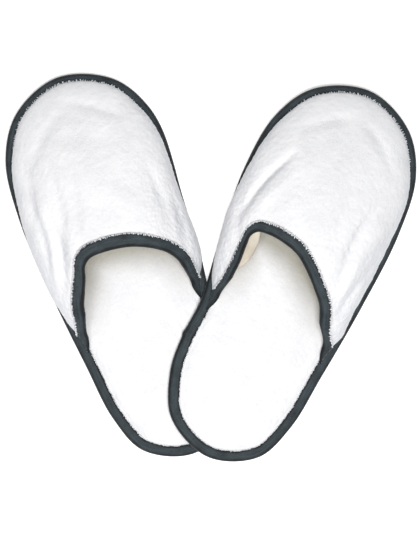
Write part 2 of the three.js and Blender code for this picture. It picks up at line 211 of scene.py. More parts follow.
# %% Tape, thread, lining and foam materials
def tape_material():
    material, tree, shader, place = new_material("slate_polyester_tape")
    strip = add_node(tree, "UVMap", {"uv_map": "strip"}).outputs["UV"]
    ribs = add_node(tree, "TexWave", {"bands_direction": "X"}, Vector=strip,
                    Scale=0.35, Distortion=0.6, Detail=2.0, i4=2.0)
    picks = add_node(tree, "TexWave", {"bands_direction": "Y"}, Vector=strip,
                     Scale=0.35, Distortion=0.6, Detail=2.0)
    weave = maths(tree, "MULTIPLY", ribs.outputs["Fac"], picks.outputs["Fac"])
    wear = grain_of(tree, place, 9 * MM, Detail=5.0, Roughness=0.65)
    stretched = add_node(tree, "Mapping", Vector=strip, Scale=(0.07, 0.8, 1.0))
    streaks = grain_of(tree, stretched.outputs["Vector"], 1.0, Detail=4.0)
    across = add_node(tree, "SeparateXYZ", Vector=strip)
    # Painted light and shade: the middle of the tape's face is painted lighter than its folded edges, as
    # light falls on a rounded fold.
    from_middle = maths(tree, "ABSOLUTE", maths(tree, "SUBTRACT", across.outputs["Y"], 4.6))
    painted_lit_middle = add_node(tree, "MapRange", {"interpolation_type": "SMOOTHSTEP"},
                      Value=from_middle, i1=3.8, i2=1.4, i3=0.0, i4=0.28)
    tone = maths(tree, "MULTIPLY_ADD", weave, 0.22, painted_lit_middle.outputs["Result"])
    cloudy = maths(tree, "MULTIPLY_ADD", wear, 0.5, tone)
    streaked = maths(tree, "MULTIPLY_ADD", streaks, 0.5, cloudy)
    colour = ramp(tree, streaked, [(0.55, "#0b0f11"), (0.98, "#3d484e")])
    bump = add_node(tree, "Bump", Strength=0.5, Distance=0.15 * MM, Height=weave)
    finish_shader(tree, shader, colour, bump, Roughness=0.72, Specular_IOR_Level=0.35,
                  Sheen_Weight=0.12, Sheen_Roughness=0.45)
    return material


def plain_cloth_material(name, light, shade, grain, depth, roughness):
    material, tree, shader, place = new_material(name)
    patches = grain_of(tree, place, 12 * MM, Detail=4.0)
    grains = grain_of(tree, place, grain, Detail=5.0, Roughness=0.6)
    colour = ramp(tree, patches, [(0.3, light), (0.75, shade)])
    bump = add_node(tree, "Bump", Strength=0.5, Distance=depth, Height=grains)
    finish_shader(tree, shader, colour, bump, Roughness=roughness)
    return material


slate_tape = tape_material()
slate_thread = plain_cloth_material("slate_sewing_thread", "#2b3337", "#3d474c", 0.5 * MM, 0.1 * MM, 0.6)
cream_lining = plain_cloth_material("cream_nonwoven_lining", "#e8dfd0", "#d8ccb8", 0.9 * MM, 0.12 * MM, 0.9)
white_foam = plain_cloth_material("white_eva_foam", "#e4e2dc", "#d6d3ca", 0.8 * MM, 0.2 * MM, 0.75)

# %% [markdown]
# ## Floor
# The pair lies on a plain white sweep. A lit white plane alone would turn grey at the edges, so it also
# glows a little, which keeps the shadows pale.

# %% Floor
floor_material, tree, shader, place = new_material("matte_white_sweep")
grain = add_node(tree, "TexNoise", Vector=place, Scale=40.0)
colour = ramp(tree, grain.outputs["Fac"], [(0.3, "#fdfdfd"), (0.7, "#fbfbfb")])
tree.links.new(colour, shader.inputs["Base Color"])
shader.inputs["Roughness"].default_value = 0.9
shader.inputs["Emission Color"].default_value = (1.0, 1.0, 1.0, 1.0)
shader.inputs["Emission Strength"].default_value = 0.5
bpy.ops.mesh.primitive_plane_add(size=9.0, location=(0.0, 0.0, -0.2 * MM))
floor = bpy.context.object
floor.name = "floor"
floor.data.materials.append(floor_material)

# %% [markdown]
# ## The sole's outline
# Both soles are one shape, mirrored. The outline is a smooth curve through a few widths, measured from
# the heel, and every ring of the sole is that curve moved inwards. These are the sizes of the frame's own
# design, so a ring made here lies on the frame's solids.

# %% Driving sizes, in millimetres
SOLE_LENGTH = 285.0
BALL_HALF = 60.0
HEEL_HALF = 50.0
TAPE_WIDTH = 7.5
HEEL_TAPE_TOP = 5.8
VAMP_TAPE_TOP = 7.2
THROAT_TAPE_WIDTH = 8.0
THROAT_ROOM = 3.0
ARCH_RISE = 28.0
SIDE_HEIGHT, TOE_HEIGHT = 18.0, 12.0
SIDE_BULGE, TOE_BULGE = 7.8, 1.5
HEM_INSET = 8.0
HEM_START = 103.0
INSTEP = 168.0
DOME_POWER = 2.1

OUTER_SIDE = [(0.05, 0.66 * HEEL_HALF), (0.15, 0.91 * HEEL_HALF), (0.3, 1.02 * HEEL_HALF),
              (0.5, 0.95 * BALL_HALF), (0.7, BALL_HALF), (0.85, 0.91 * BALL_HALF), (0.95, 0.6 * BALL_HALF)]
INNER_SIDE = [(0.95, 0.62 * BALL_HALF), (0.85, 0.915 * BALL_HALF), (0.7, BALL_HALF), (0.5, 0.92 * BALL_HALF),
              (0.35, 0.99 * HEEL_HALF), (0.25, HEEL_HALF), (0.15, 0.94 * HEEL_HALF), (0.05, 0.68 * HEEL_HALF)]

# %% [markdown]
# ## Curves and rings
# A smooth curve goes through the given widths, and points are laid evenly along it. Any ring of the sole
# is then a count of stations, an inset and a height.

# %% A smooth curve through points
def smooth_curve(points, closed, steps=60):
    points = np.array(points, float)
    before_first, after_last = 2 * points[0] - points[1], 2 * points[-1] - points[-2]
    if closed:
        before_first, after_last = points[-1], points[:2]
    padded = np.vstack([before_first, points, after_last])
    t = (np.arange(steps) / steps)[:, None]
    out = []
    for a, b, c, d in zip(padded, padded[1:], padded[2:], padded[3:]):
        before, span, after = (np.linalg.norm(q - p) ** 0.5 for p, q in ((a, b), (b, c), (c, d)))
        leave = ((b - a) / before - (c - a) / (before + span) + (c - b) / span) * span
        arrive = ((c - b) / span - (d - b) / (span + after) + (d - c) / after) * span
        out.append((2 * t**3 - 3 * t**2 + 1) * b + (t**3 - 2 * t**2 + t) * leave
                   + (3 * t**2 - 2 * t**3) * c + (t**3 - t**2) * arrive)
    line = np.vstack(out)
    return line if closed else np.vstack([line, points[-1]])


def wrapped(grid, axis=0):
    return np.concatenate([grid, np.take(grid, [0], axis)], axis)


def unit(vectors):
    return vectors / np.maximum(np.linalg.norm(vectors, axis=-1), 1e-9)[..., None]


def lengths_along(line):
    return np.concatenate([[0.0], np.cumsum(np.linalg.norm(np.diff(line, axis=0), axis=1))])


def at_places(places, walked, line):
    return np.stack([np.interp(places, walked, line[:, k]) for k in range(line.shape[1])], 1)


def spaced(line, shares):
    walked = lengths_along(line)
    return at_places(shares * walked[-1], walked, line)


def outline(count):
    points = [(0, 0)] + [(w, s * SOLE_LENGTH) for s, w in OUTER_SIDE] + [(0, SOLE_LENGTH)]
    points += [(-w, s * SOLE_LENGTH) for s, w in INNER_SIDE]
    line = smooth_curve(points, True)
    ring = spaced(wrapped(line), np.arange(count) / count)
    tangent = unit(np.roll(ring, -1, 0) - np.roll(ring, 1, 0))
    return ring, np.stack([-tangent[:, 1], tangent[:, 0]], 1)


def smoothstep(x, low, high):
    t = np.clip((x - low) / (high - low), 0, 1)
    return t * t * (3 - 2 * t)


def bell(x, middle, spread):
    return np.exp(-(((x - middle) / spread) ** 2))


def tape_top(along):
    share = smoothstep(along, HEM_START - 22, HEM_START - 6)
    return HEEL_TAPE_TOP + (VAMP_TAPE_TOP - HEEL_TAPE_TOP) * share


def ring_at(count, inset, height):
    ring, inward = outline(count)
    return np.column_stack([ring + inward * np.reshape(inset, (-1, 1)), np.broadcast_to(height, count)])


print("the outline is", round(lengths_along(ring_at(200, 0.0, 0.0))[-1]), "mm round")

# %% [markdown]
# ## How each slipper lies
# The left slipper lies flat, turned outwards. The right one is turned the other way and tilted, because
# its heel rests on the left heel. The turns are the design's; the places come from the frame, by laying
# the outline's box on the box of each slipper's sole tape. Each slipper's own sizes stand in one table:
# its throat, the leans and dents of its sides, and how its throat tape narrows or widens.

# %% Place of each slipper
SLIPPERS = {
    "left": {
        "mirror": -1, "turn": 20.0, "pitch": 0.0, "roll": 0.0, "ends": (103.0, 112.0),
        "lean": [("outer", 120, 160, 0.7), ("inner", 122, 156, 2.2), ("inner", 178, 205, -0.6),
                 ("outer", 262, 340, 1.1), ("inner", 262, 340, 1.1)],
        "dents": [(-1, 180, 34, 3.6)], "arch_shade": 0.95, "narrow": (0.5, 0.24, -0.2),
        "throat": [(122, 0.72), (133, 0.62), (143, 0.53), (151, 0.475), (155.5, 0.38), (156.5, 0.22),
                   (153.5, -0.15), (145, -0.485), (138.5, -0.635), (129.5, -0.745), (120, -0.765)],
    },
    "right": {
        "mirror": 1, "turn": -24.0, "pitch": 1.6, "roll": 2.4, "ends": (103.0, 106.0),
        "lean": [("outer", 128, 205, -3.4), ("inner", 125, 185, 1.8),
                 ("outer", 262, 340, 0.9), ("inner", 262, 340, 0.9)],
        "dents": [(-1, 55, 40, -2.0)], "arch_shade": 1.0, "narrow": (0.8, 0.16, 0.34),
        "throat": [(116, 0.645), (130, 0.495), (138, 0.35), (146, 0.195), (156, -0.04), (160, -0.27),
                   (161, -0.47), (159.5, -0.615), (154, -0.69), (147, -0.7), (134, -0.71), (121, -0.75)],
    },
}


def placing(name):
    how = SLIPPERS[name]
    turn = (Matrix.Rotation(math.radians(how["turn"]), 4, "Z")
            @ Matrix.Rotation(math.radians(-how["pitch"]), 4, "X")
            @ Matrix.Rotation(math.radians(how["roll"]), 4, "Y")
            @ Matrix.Diagonal((how["mirror"] * MM, MM, MM, 1)))
    rings = np.vstack([ring_at(48, 0.0, 0.0), ring_at(48, 0.0, tape_top(outline(48)[0][:, 1]))])
    spread = rings @ np.array(turn.to_3x3()).T
    low, high = (Vector(corner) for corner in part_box(f"{name}_sole_tape"))
    shift = (low + high) / 2 - Vector((spread.min(0) + spread.max(0)) / 2)
    return Matrix.Translation(shift) @ turn


for name, how in SLIPPERS.items():
    how["place"] = placing(name)
    print(name, "heel tip at", [round(v / MM, 1) for v in how["place"].translation])


def in_frame(points, name):
    how = SLIPPERS[name]
    bent = points.copy()
    for side, along, spread, depth in how["dents"]:
        near = bell(points[..., 1], along, spread)
        bent[..., 0] -= side * depth * near * smoothstep(side * points[..., 0], 12, 55)
    place = np.array(how["place"])
    return bent @ place[:3, :3].T + place[:3, 3]

# %% [markdown]
# ## Helpers that lay a primitive on the design
# A grid, a ring or a disc is added as a primitive with as many faces as the piece needs, and its corners
# are laid on the rings that the design gives. Everything is deselected first, so that an operator only
# acts on the new piece.

# %% Laying a primitive on points
def start_piece(name, add, **settings):
    bpy.ops.object.select_all(action="DESELECT")
    add(**settings)
    piece = bpy.context.object
    piece.name = name
    piece.data.name = name
    return piece


def select_only(piece):
    bpy.ops.object.select_all(action="DESELECT")
    piece.select_set(True)
    bpy.context.view_layer.objects.active = piece


def apply_modifier(piece, modifier):
    select_only(piece)
    bpy.ops.object.modifier_apply(modifier=modifier)


def shape_of(piece):
    corners = np.array([v.co[:] for v in piece.data.vertices])
    faces = [tuple(face.vertices) for face in piece.data.polygons]
    bpy.data.objects.remove(piece)
    return corners, faces


def lay_corners(piece, points):
    piece.matrix_world = Matrix.Identity(4)
    piece.data.vertices.foreach_set("co", np.ascontiguousarray(points, dtype=np.float32).ravel())
    piece.data.update()


def lay_strip_map(piece, along, across):
    places = np.column_stack([np.repeat(along, len(across)), np.tile(across, len(along))])
    layer = piece.data.uv_layers.new(name="strip")
    corners = np.zeros(len(piece.data.loops), np.int32)
    piece.data.loops.foreach_get("vertex_index", corners)
    layer.data.foreach_set("uv", places[corners].astype(np.float32).ravel())


def laid_grid(name, grid):
    rows, columns = grid.shape[:2]
    piece = start_piece(name, bpy.ops.mesh.primitive_grid_add,
                        x_subdivisions=columns - 1, y_subdivisions=rows - 1)
    lay_corners(piece, grid.reshape(-1, 3))
    return piece


def open_merged(piece):
    select_only(piece)
    bpy.ops.object.mode_set(mode="EDIT")
    bpy.ops.mesh.select_all(action="SELECT")
    bpy.ops.mesh.remove_doubles(threshold=0.005 * MM)


def finish_mesh(piece, smooth_angle):
    open_merged(piece)
    bpy.ops.mesh.normals_make_consistent(inside=False)
    bpy.ops.object.mode_set(mode="OBJECT")
    bpy.ops.object.shade_smooth_by_angle(angle=math.radians(smooth_angle))


def dress(piece, name, part, material):
    piece.data.materials.clear()
    piece.data.materials.append(material)
    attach(piece, f"{name}_slipper")
    if part:
        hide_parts(f"{name}_{part}")
    print(piece.name, "has", len(piece.data.polygons), "faces")

# %% [markdown]
# ## The upper
# The upper is a dome over the forefoot, open at the throat. It leaves the seam beside the tape, leans out
# over the tape, turns over at its widest line, and climbs to the instep. It could be draped by
# simulation from its flat cut, but the foam ply holds it up, so its form comes from the design, and only
# the creases and the slack are added.

# %% Heights and widths of the dome
def climb(along):
    share = np.clip((along - HEM_START) / (INSTEP - HEM_START), 0, 1)
    return 0.42 + 0.58 * np.sin(share * math.pi / 2)


def fall(along):
    start, end = 120.0, SOLE_LENGTH - HEM_INSET + TOE_BULGE
    share = np.clip((along - start) / (end - start), 0, 1)
    return (1 - share**1.5) ** (1 / 1.5)


def mix(a, b, share):
    return a + (b - a) * share


def toe_share(along):
    return smoothstep(along / SOLE_LENGTH, 0.58, 0.98)


def bulge(along):
    return mix(SIDE_BULGE, TOE_BULGE, toe_share(along)) * (0.4 + 0.6 * climb(along))


def widest_height(along):
    full = mix(SIDE_HEIGHT, TOE_HEIGHT, toe_share(along))
    return VAMP_TAPE_TOP + 1 + (full - VAMP_TAPE_TOP - 1) * climb(along)


def crown_height(along):
    return widest_height(along) + ARCH_RISE * climb(along) * fall(along)


FINE = 960
fine_ring, fine_inward = outline(FINE)
fine_along = fine_ring[:, 1]
hem_line = ring_at(FINE, HEM_INSET, VAMP_TAPE_TOP)
widest_line = ring_at(FINE, HEM_INSET - bulge(fine_along), widest_height(fine_along))
toe_station = int(np.argmax(widest_line[:, 1]))
HALVES = {"outer": slice(0, FINE // 2), "inner": slice(FINE // 2, FINE)}
LEAN_IN, LEAN_OUT = 14, 24  # how softly a lean comes in and goes out


def own_widest_line(lean):
    line = widest_line.copy()
    for side, start, end, amount in lean:
        part = HALVES[side]
        along = fine_along[part]
        window = smoothstep(along, start - LEAN_IN, start + LEAN_IN)
        window = window * (1 - smoothstep(along, end - LEAN_OUT, end + LEAN_OUT))
        line[part, :2] -= fine_inward[part] * (amount * window)[:, None]
    return line


for how in SLIPPERS.values():
    how["widest"] = own_widest_line(how["lean"])


def reach(along, across, line=widest_line):
    outer = line[:toe_station + 1]
    inner = line[toe_station:][::-1]
    wide = np.interp(along, outer[:, 1], outer[:, 0])
    other = -np.interp(along, inner[:, 1], inner[:, 0])
    return np.where(across >= 0, wide, other)


def reach_at(along, side):
    return float(reach(np.array(float(along)), np.array(float(side))))


def dome_height(x, along, line):
    share = np.clip(np.abs(x) / np.maximum(reach(along, x, line), 1e-6), 0, 1)
    rise = (1 - share**DOME_POWER) ** (1 / DOME_POWER)
    return mix(widest_height(along), crown_height(along), rise)


print("the instep stands", round(float(crown_height(INSTEP))), "mm high")

# %% [markdown]
# ## Columns of the upper
# A round opening is awkward to cut from a square grid, so the grid follows it: each column runs from the
# hem, over the widest line, to the throat. Past the throat's ends the columns shrink and dip under the
# sole tape.

# %% Columns of the upper, from the hem to the throat
def station_at(along, side):
    stations = np.arange(FINE)[HALVES[side]]
    return stations[np.argmin(np.abs(hem_line[HALVES[side]][:, 1] - along))]


END_RUN = 12.0  # the throat line runs on this far past the design's end, under the sole tape
END_SHARE = 0.42  # of a column's length that is left at the design's end
END_EASE = 16.0  # length of throat over which the columns shorten before that
END_COLUMNS = 12
END_OUT, END_DROP = 3.5, 1.8  # how far the last columns move out and down
END_THICKNESS = 0.75  # of the full thickness, at the design's end
CROWDING = 0.105  # how much the hem's columns crowd towards the ends
LEAN_ROWS, DOME_ROWS = 14, 90


def at_stations(line, stations):
    return at_places(stations, np.arange(FINE), line)


def upper_columns(how, count):
    line = [(how["ends"][0], 1), *how["throat"], (how["ends"][1], -1)]
    points = []
    for a, share in line:
        wide = reach_at(a, share)
        across = min(abs(share) * wide, wide - THROAT_TAPE_WIDTH - THROAT_ROOM)
        points.append((math.copysign(across, share), a))
    shares = np.linspace(0, 1, count)
    throat = spaced(smooth_curve(points, False), shares)
    hem_shares = shares - CROWDING * np.sin(math.tau * shares)
    stations = mix(station_at(how["ends"][0], "outer"), station_at(how["ends"][1], "inner"), hem_shares)
    hem, widest = at_stations(hem_line, stations), at_stations(how["widest"], stations)
    t = np.linspace(0, 1, LEAN_ROWS)[:, None, None]
    control = np.column_stack([widest[:, :2] * 0.85 + hem[:, :2] * 0.15, mix(hem[:, 2], widest[:, 2], 0.45)])
    lean = (1 - t) ** 2 * hem + 2 * t * (1 - t) * control + t**2 * widest
    s = (1 - np.cos(np.linspace(0, 1, DOME_ROWS) * math.pi / 2))[1:, None]
    x = mix(widest[:, 0], throat[:, 0], s)
    y = mix(widest[:, 1], throat[:, 1], s)
    dome = np.stack([x, y, dome_height(x, y, how["widest"])], 2)
    grid = np.concatenate([lean, dome], 0)  # rows from the hem to the throat
    return shorten_ends(grid, hem, throat, stations)


def shorten_ends(grid, hem, throat, stations):
    walked = lengths_along(throat)
    from_end = np.minimum(walked, walked[-1] - walked)
    kept = mix(END_SHARE, 1.0, smoothstep(from_end, 0, END_EASE))
    grid = hem + (grid - hem) * kept[:, None]
    squash = mix(END_THICKNESS, 1.0, smoothstep(from_end, 0, END_EASE))
    per_station = lengths_along(wrapped(fine_ring))[-1] / FINE
    for end, way in ((0, -1), (-1, 1)):
        steps = np.arange(1, END_COLUMNS + 1) / END_COLUMNS
        beyond = stations[end] + way * steps * END_RUN / per_station
        moved = at_stations(hem_line, beyond)
        outward = unit(at_stations(ring_at(FINE, 0.0, VAMP_TAPE_TOP), beyond) - moved)
        moved = moved + outward * (END_OUT * steps**2)[:, None]
        moved[:, 2] -= END_DROP * steps**2
        short = np.maximum((1 - steps) ** 0.8, 0.08)[:, None]
        extra = moved + (grid[:, end, None] - hem[end]) * short
        thin = mix(0.2, END_THICKNESS, 1 - steps)
        if end == 0:
            grid = np.concatenate([extra[:, ::-1], grid], 1)
            squash = np.concatenate([thin[::-1], squash])
        else:
            grid = np.concatenate([grid, extra], 1)
            squash = np.concatenate([squash, thin])
    return grid, squash


def even_rows(columns, rows):
    shares = np.linspace(0, 1, rows)
    return np.stack([spaced(columns[:, c], shares) for c in range(columns.shape[1])], 1)


def grid_normals(grid):
    return unit(np.cross(np.gradient(grid, axis=1), np.gradient(grid, axis=0)))

# %% [markdown]
# ## Slack and creases
# A flat cut that is pulled over a dome keeps some slack, and the slack gathers into soft folds where the
# upper is narrowest. The folds of the pair are modelled as shallow valleys and ridges along short lines
# on the upper. Each line is given by its two ends, as share across and distance from the heel, and by its
# depth and width. A valley next to a ridge keeps the cloth's length, as a real fold does.

# %% Creases of the upper
CREASES = {
    # share and distance of start and end, depth, half width
    "left": [(0.97, 146, 0.82, 204, -1.5, 3.2), (0.86, 138, 0.66, 192, -2.0, 4.1),
             (0.70, 160, 0.50, 226, -1.5, 4.5), (0.93, 185, 0.86, 240, -1.2, 4.0),
             (0.91, 150, 0.75, 208, 1.2, 3.6), (0.41, 174, 0.28, 226, -0.9, 4.0),
             (-0.86, 140, -0.90, 178, -1.2, 3.6), (-0.74, 158, -0.70, 205, -1.2, 4.5),
             (-0.30, 176, -0.22, 236, -0.6, 7.2), (0.12, 170, 0.18, 205, -0.7, 6.3),
             (-0.66, 244, 0.10, 267, -0.9, 4.0), (0.15, 261, 0.74, 230, -1.0, 4.0),
             (-0.50, 226, 0.30, 244, -0.5, 5.4)],
    "right": [(-0.88, 166, -0.58, 222, -2.5, 2.8), (-0.74, 164, -0.42, 214, 1.3, 4.5),
              (0.80, 126, 0.92, 176, -1.5, 3.6), (0.72, 138, 0.80, 200, 1.2, 4.5),
              (0.60, 146, 0.66, 214, -1.6, 4.1), (0.93, 150, 0.96, 200, -1.2, 3.6),
              (0.32, 168, 0.42, 228, -1.0, 6.3), (-0.82, 150, -0.95, 186, -1.2, 3.6),
              (0.02, 176, 0.08, 230, 0.7, 8.1), (-0.72, 236, 0.05, 265, -0.9, 4.5),
              (0.10, 263, 0.72, 236, -1.0, 4.0)],
}


def crease_depth(points, name):
    flat = points[..., :2]
    total = np.zeros(flat.shape[:-1])
    for share_a, along_a, share_b, along_b, depth, width in CREASES[name]:
        ends = [np.array([share * reach_at(a, share), a])
                for share, a in ((share_a, along_a), (share_b, along_b))]
        step = ends[1] - ends[0]
        t = np.clip(((flat - ends[0]) @ step) / (step @ step), 0, 1)
        bow = 0.06 * np.linalg.norm(step) * np.sin(t * math.pi)
        side = np.array([-step[1], step[0]]) / np.linalg.norm(step)
        near = ends[0] + t[..., None] * step + bow[..., None] * side
        far = np.linalg.norm(flat - near, axis=-1) / width
        total += depth * np.exp(-far**2) * (0.25 + 0.75 * np.sin(t * math.pi) ** 0.7)
    return total


def wander(points, scale, seed):
    spot = Vector((seed * 17.3, seed * 5.1, 0.0))
    flat = points.reshape(-1, 3) / scale
    values = [noise.noise(Vector(point) + spot) for point in flat]
    return np.array(values).reshape(points.shape[:-1])


def slack(grid, name, squash):
    flat_share = np.linspace(0, 1, grid.shape[0])[:, None]
    sag = crease_depth(grid, name) * smoothstep(flat_share, 0.03, 0.2)
    ripple = 0.8 * wander(grid, 30.0, 1 + (name == "right")) + 0.25 * wander(grid, 12.0, 3)
    ripple = ripple * smoothstep(flat_share, 0.03, 0.25) * (1 - 0.6 * smoothstep(flat_share, 0.85, 1.0))
    return sag * squash**2 + ripple * squash**2


def upper_face(name, count, rows, depth=0.0, trim=0.0):
    columns, squash = upper_columns(SLIPPERS[name], count)
    grid = even_rows(columns, rows)
    if trim:
        columns = range(len(squash))
        length = np.stack([lengths_along(grid[:, c])[-1] for c in columns])
        kept = np.maximum(length - trim, 0.5 * length) / length
        grid = np.stack([spaced(grid[:, c], np.linspace(0, kept[c], rows)) for c in columns], 1)
    grid = grid + grid_normals(grid) * slack(grid, name, squash)[..., None]
    normals = grid_normals(grid)
    return grid - normals * (depth * squash)[:, None], normals, squash

# %% [markdown]
# ## The three plies of the upper
# The upper is terry outside, a thin foam in the middle and a cream non-woven inside. Each ply is one
# sheet, laid as a grid on the same surface at its own depth and then given its thickness. The terry's
# grid has about one cell for each tuft of its pile, so that the tufts are real relief. Its hem turns
# flat under the sole tape.

# %% Plies
def tuft_relief(points, spread, height, seed):
    coarse = wander(points, spread, seed)
    fine = wander(points, spread * 0.55, seed + 4)
    return height * (0.6 * coarse + 0.4 * fine)


def flat_out(normals):
    outward = normals.copy()
    outward[..., 2] = 0
    return unit(outward)


def with_hem(grid, outward, width, height):
    at_seam = grid[:1].copy()
    at_seam[..., 2] = height
    rows = [at_seam + outward * reachout for reachout in np.linspace(width, 0, 4)]
    return np.concatenate([*rows, grid[1:]], 0)


def add_thickness(piece, thickness):
    wall = piece.modifiers.new("ply", "SOLIDIFY")
    wall.thickness = thickness * MM
    wall.offset = -1.0
    apply_modifier(piece, "ply")


PLIES = {
    # part: depth of its outer face, thickness, columns, rows, trim at the throat, tuft height
    "vamp_terry": (0.0, 1.0, 430, 104, 1.6, 0.42),
    "vamp_padding": (2.0, 0.9, 200, 60, 1.8, 0.0),
    "vamp_lining": (3.5, 0.45, 300, 80, 1.8, 0.0),
}


# The lining is loose: where along the throat it sags, over how wide a stretch, how far in and how deep.
LINING_SAG = {"left": (0.42, 0.2, 8.0, 6.0), "right": (0.75, 0.1, 22.0, 9.0)}


def sagged(grid, name):
    middle, spread, pull, drop = LINING_SAG[name]
    around = np.linspace(0, 1, grid.shape[1])[None]
    from_throat = np.stack([lengths_along(grid[::-1, c])[::-1] for c in range(grid.shape[1])], 1)
    loose = smoothstep(from_throat, 7, 15) * (1 - smoothstep(from_throat, 20, 50))
    loose = loose * bell(around, middle, spread)
    pleat = np.exp(-(((around - middle + 0.02) - (from_throat - 16) * 0.006) / 0.022) ** 2)
    inwards = np.array([0.85, -0.5, 0.0])
    down = np.array([0.0, 0.0, -1.0])
    fall = drop * loose + (0.8 * wander(grid, 13.0, 91) + 1.6 * pleat) * loose
    return grid + inwards * (pull * loose)[..., None] + down * fall[..., None]


def make_ply(name, part):
    depth, thickness, count, rows, trim, tuft = PLIES[part]
    grid, normals, squash = upper_face(name, count, rows, depth, trim)
    if part == "vamp_lining":
        grid = sagged(grid, name)
    if part != "vamp_terry":
        kept = slice(END_COLUMNS - 4, 4 - END_COLUMNS)
        grid, normals, squash = grid[:, kept], normals[:, kept], squash[kept]
    if tuft:
        grid = grid + normals * tuft_relief(grid, 2.6, tuft, 11)[..., None]
        grid = with_hem(grid, flat_out(normals[:1]), 4.0, 5.9)
    if SLIPPERS[name]["mirror"] < 0:
        grid = grid[:, ::-1]  # keeps the outer face outwards when mirrored
    piece = laid_grid(f"{name}_{part}_cloth", in_frame(grid, name))
    add_thickness(piece, thickness)
    finish_mesh(piece, 80.0)
    return piece


for name in SLIPPERS:
    for part, material, slot in (("vamp_terry", white_terry, "white_terry"),
                                 ("vamp_padding", white_foam, "sponge_foam"),
                                 ("vamp_lining", cream_lining, "cream_lining")):
        ply = make_ply(name, part)
        dress(ply, name, part, material)

# %% [markdown]
# ## The tapes
# Both tapes are the same strip, folded over an edge. A U-shaped section is carried round the sole and
# along the throat. The strip puckers a little at each stitch and swells over lumps in the edge, so the
# section's thickness and its inner edge wander along the way.

# %% Tape sections
SOLE_SECTION = [(7.5, -0.95), (7.75, -0.45), (7.45, 0.02), (6.2, 0.22), (4.6, 0.28), (3.0, 0.1), (1.7, -0.4),
                (0.7, -1.3), (0.12, -2.5)]


def sole_section(top, swell, pucker):
    upper = [(inset + pucker * max(0, (inset - 5) / 2.5), top + height + swell * (1 - abs(inset - 4) / 4))
             for inset, height in SOLE_SECTION]
    lower = [(0.0, 1.7), (0.35, 0.7), (1.2, 0.12), (2.6, 0.0), (TAPE_WIDTH, 0.0), (TAPE_WIDTH, 0.85)]
    inner = [(2.2, 0.95), (1.0, 1.6), (0.95, top - 2.2), (2.2, top - 1.0)]
    return np.array(upper + lower + inner)


STATIONS = 900
LAP_ALONG = 74.0  # where the sole tape's end is folded under, on the inner side


def make_sole_tape(name):
    ring, inward = outline(STATIONS)
    walked = np.arange(STATIONS) / STATIONS
    circle = np.column_stack([np.cos(walked * math.tau), np.sin(walked * math.tau), walked * 0])
    lumps = wander(circle, 0.045, 21 + len(name))
    puckers = wander(circle, 0.014, 31 + len(name))
    tops = tape_top(ring[:, 1])
    lap = bell(ring[:, 1], LAP_ALONG, 2.2) * (ring[:, 0] < 0)
    swells = 0.22 * lumps + 0.16 * puckers + 0.7 * lap
    pulls = 0.5 * lumps + 0.35 * puckers + 0.9 * lap
    sections = []
    for i in range(STATIONS):
        section = sole_section(tops[i], swells[i], pulls[i])
        section[:, 0] -= 0.7 * lap[i]
        sections.append(np.column_stack([ring[i] + inward[i] * section[:, :1], section[:, 1]]))
    sections = wrapped(wrapped(in_frame(np.array(sections), name)), 1)
    piece = laid_grid(f"{name}_sole_tape_folded", sections)
    perimeter = lengths_along(wrapped(ring))[-1]
    across = lengths_along(wrapped(sole_section(7.0, 0, 0)))
    lay_strip_map(piece, np.linspace(0, perimeter, STATIONS + 1), across)
    finish_mesh(piece, 70.0)
    return piece


for name in SLIPPERS:
    dress(make_sole_tape(name), name, "sole_tape", slate_tape)

# %% [markdown]
# ## The throat tape
# This tape is stretched as it is sewn round the opening, so its width changes a little and its edges
# wander. The same section is laid square to the cloth at each station. Its two ends are closed with a
# face and hide under the sole tape.

# %% The throat tape
def throat_band(name, count):
    grid, normals, squash = upper_face(name, count, 220)
    under = grid[:1] + flat_out(normals[:1]) * 6.5
    under[..., 2] = 5.4
    up = np.zeros_like(normals[:1])
    up[..., 2] = 1
    return np.concatenate([under, grid]), np.concatenate([up, normals]), squash


def width_shares(name, count):
    middle, spread, narrowing = SLIPPERS[name]["narrow"]
    return 1 - narrowing * bell(np.linspace(0, 1, count), middle, spread)


def at_distance(grid, normals, distances, width_share=None):
    spots, ways = [], []
    for c in range(grid.shape[1]):
        line, lean = grid[::-1, c], normals[::-1, c]
        walked = lengths_along(line)
        share = 1.0 if width_share is None else width_share[c]
        d = np.clip(distances * share, 0, walked[-1] * 0.98)
        past = np.minimum(distances, 0)[:, None]
        back = (line[0] - line[6]) / np.linalg.norm(line[0] - line[6])
        spots.append(at_places(d, walked, line) - past * back)
        ways.append(unit(at_places(d, walked, lean)))
    return np.array(spots), np.array(ways)


fold = [(2.9 - 3.1 * math.cos(a), -2.1 + 3.45 * math.sin(a)) for a in np.linspace(1.35, -1.35, 13)]
outer = [(8.0, 0.3), (8.25, 0.75), (7.95, 1.2), (6.6, 1.45), (5.0, 1.5), (3.6, 1.42)]
under = [(3.6, -5.6), (5.0, -5.6), (6.6, -5.55), (7.95, -5.4), (8.2, -5.0), (8.0, -4.55)]
inner = [(4.0, -4.5), (1.7, -4.1), (1.1, -2.1), (1.7, -0.1), (4.0, 0.28)]
THROAT_SECTION = np.array(outer + fold + under + inner)
THROAT_STATIONS = 360


